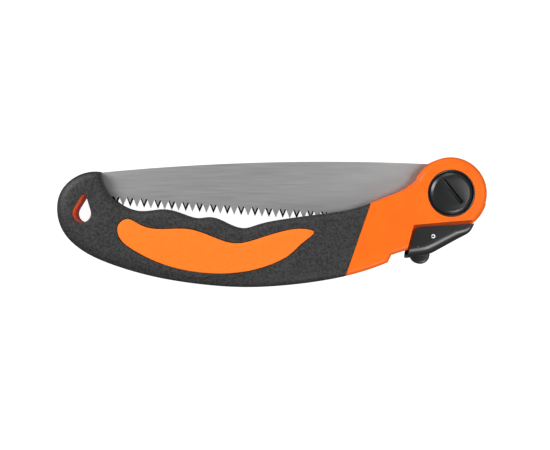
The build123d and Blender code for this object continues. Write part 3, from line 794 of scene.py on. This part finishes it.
def line_meet(a, way_a, b, way_b):
    """Where two lines cross."""
    share = np.linalg.solve(np.stack([way_a, -way_b], axis=1), b - a)
    return a + share[0] * way_a


# For an outline point by its number: whether its tooth is ground on the near side, and where the
# facet's inner edge is. ground is for the point itself, the others for a point put before or after it
ground, before_of, after_of = {}, {}, {}
for number, tip in enumerate(tips):
    near_side = number % 2 == 0
    a, b, c, d = (outline[i % count] for i in (tip - 1, tip, tip + 1, tip + 2))
    flank_a, flank_d = b - a, c - d
    square_a = np.array([-flank_a[1], flank_a[0]]) / np.linalg.norm(flank_a)
    square_d = np.array([-flank_d[1], flank_d[0]]) / np.linalg.norm(flank_d)
    if square_a @ (d - a) < 0:
        square_a = -square_a
    if square_d @ (a - d) < 0:
        square_d = -square_d
    root_a = a + square_a * facet_width
    root_d = d + square_d * facet_width
    point = line_meet(root_a, flank_a, root_d, flank_d)
    half = (c - b) * ridge_share / 2
    ground[tip % count] = (near_side, point - half)
    ground[(tip + 1) % count] = (near_side, point + half)
    after_of[(tip - 1) % count] = (near_side, root_a)
    before_of[(tip + 2) % count] = (near_side, root_d)

pairs = []
for i in range(count):
    p = outline[i]
    if i in before_of:
        near_side, root = before_of[i]
        pairs.append((root, p) if near_side else (p, root))
    if i in ground:
        near_side, root = ground[i]
        pairs.append((root, p) if near_side else (p, root))
    else:
        pairs.append((p, p))
    if i in after_of:
        near_side, root = after_of[i]
        pairs.append((root, p) if near_side else (p, root))

mesh = bmesh.new()
near_row, far_row = [], []
for near_point, far_point in pairs:
    for line, point, height in ((near_row, near_point, high.z), (far_row, far_point, low.z)):
        if line and (line[-1].co.xy - Vector(point)).length < SAME:
            line.append(line[-1])
        else:
            line.append(mesh.verts.new((point[0], point[1], height)))
for i in range(len(pairs)):
    j = (i + 1) % len(pairs)
    corners_here = []
    for v in (near_row[i], near_row[j], far_row[j], far_row[i]):
        if v not in corners_here:
            corners_here.append(v)
    if len(corners_here) > 2:
        face = mesh.faces.new(corners_here)
        slanted = (pairs[i][0] != pairs[i][1]).any() or (pairs[j][0] != pairs[j][1]).any()
        face.material_index = int(slanted)
for line, height in ((near_row, high.z), (far_row, low.z)):
    single = [v for k, v in enumerate(line) if v is not line[k - 1]]
    fill(mesh, single, row(mesh, bore, height))
bore_rows = [row(mesh, bore, height) for height in (high.z, low.z)]
strip(mesh, *bore_rows, closed=True)
piece("toothed_blade", mesh, [ground_steel, hardened_steel], "blade", ["blade"])

# ---------------------------------------------------------------- studio
floor_mesh = bmesh.new()
floor_size = 3.0
floor_gap = 0.05 * MM
bmesh.ops.create_grid(floor_mesh, x_segments=2, y_segments=2, size=floor_size)
floor_data = bpy.data.meshes.new("floor")
floor_mesh.to_mesh(floor_data)
floor_mesh.free()
floor = bpy.data.objects.new("floor", floor_data)
floor.location.z = cad_low.z - floor_gap
bpy.context.scene.collection.objects.link(floor)
white = bpy.data.materials.new("studio_white")
white.use_nodes = True
shader = white.node_tree.nodes["Principled BSDF"]
shader.inputs["Base Color"].default_value = (0.2, 0.2, 0.2, 1.0)
shader.inputs["Roughness"].default_value = 0.9
shader.inputs["Emission Color"].default_value = (1.0, 1.0, 1.0, 1.0)
shader.inputs["Emission Strength"].default_value = 0.97
floor_data.materials.append(white)
floor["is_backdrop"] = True
floor.visible_diffuse = False
floor.visible_glossy = False

world = bpy.data.worlds.new("studio")
bpy.context.scene.world = world
world.use_nodes = True
tree = world.node_tree
sky_place = add(tree, "ShaderNodeTexCoord").outputs["Generated"]
sky_height = add(tree, "ShaderNodeSeparateXYZ", {"Vector": sky_place})
sky_share = add(
    tree, "ShaderNodeMapRange", {"Value": sky_height.outputs["Z"], "From Min": -1.0, "From Max": 1.0}
)
sky = add(tree, "ShaderNodeValToRGB", {"Fac": sky_share.outputs["Result"]})
# height share, brightness: dim below, bright at the horizon, dimmer above
for place, grey in ((0.42, 0.16), (0.5, 0.5), (0.95, 0.2)):
    stop = sky.color_ramp.elements.new(place)
    stop.color = (grey, grey, grey, 1.0)
sky.color_ramp.elements.remove(sky.color_ramp.elements[-1])
sky.color_ramp.elements.remove(sky.color_ramp.elements[0])
background = tree.nodes["Background"]
background.inputs["Strength"].default_value = 1.0
tree.links.new(sky.outputs["Color"], background.inputs["Color"])


def softbox(name, place, target, size, power):
    """A square soft light that faces a point."""
    data = bpy.data.lights.new(name, "AREA")
    data.size = size
    data.energy = power
    light = bpy.data.objects.new(name, data)
    light.location = place
    light.rotation_euler = (Vector(target) - Vector(place)).to_track_quat("-Z", "Y").to_euler()
    bpy.context.scene.collection.objects.link(light)


middle = (cad_low + cad_high) / 2
# name, place from the object's middle, size, power
softboxes = [
    ("left_back", (-0.65, 0.4, 0.55), 0.45, 8.0),
    ("back", (0.1, 0.75, 0.45), 0.36, 1.2),
    ("front", (0.42, -0.6, 0.62), 0.36, 4.6),
    ("right", (0.6, 0.05, 0.85), 0.4, 2.6),
]
for name, place, size, power in softboxes:
    softbox(name, middle + Vector(place), middle, size, power)

camera_data = bpy.data.cameras.new("camera")
camera_data.lens = 73.96
camera_data.sensor_width = 36.0
camera_aside = Vector((1.68, -1.42)) * MM  # from above the object's middle
camera_height = 0.602  # metres
camera = bpy.data.objects.new("camera", camera_data)
camera.location = (middle.x + camera_aside.x, middle.y + camera_aside.y, camera_height)
bpy.context.scene.collection.objects.link(camera)
bpy.context.scene.camera = camera
bpy.context.scene.view_settings.view_transform = "Standard"

low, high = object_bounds()
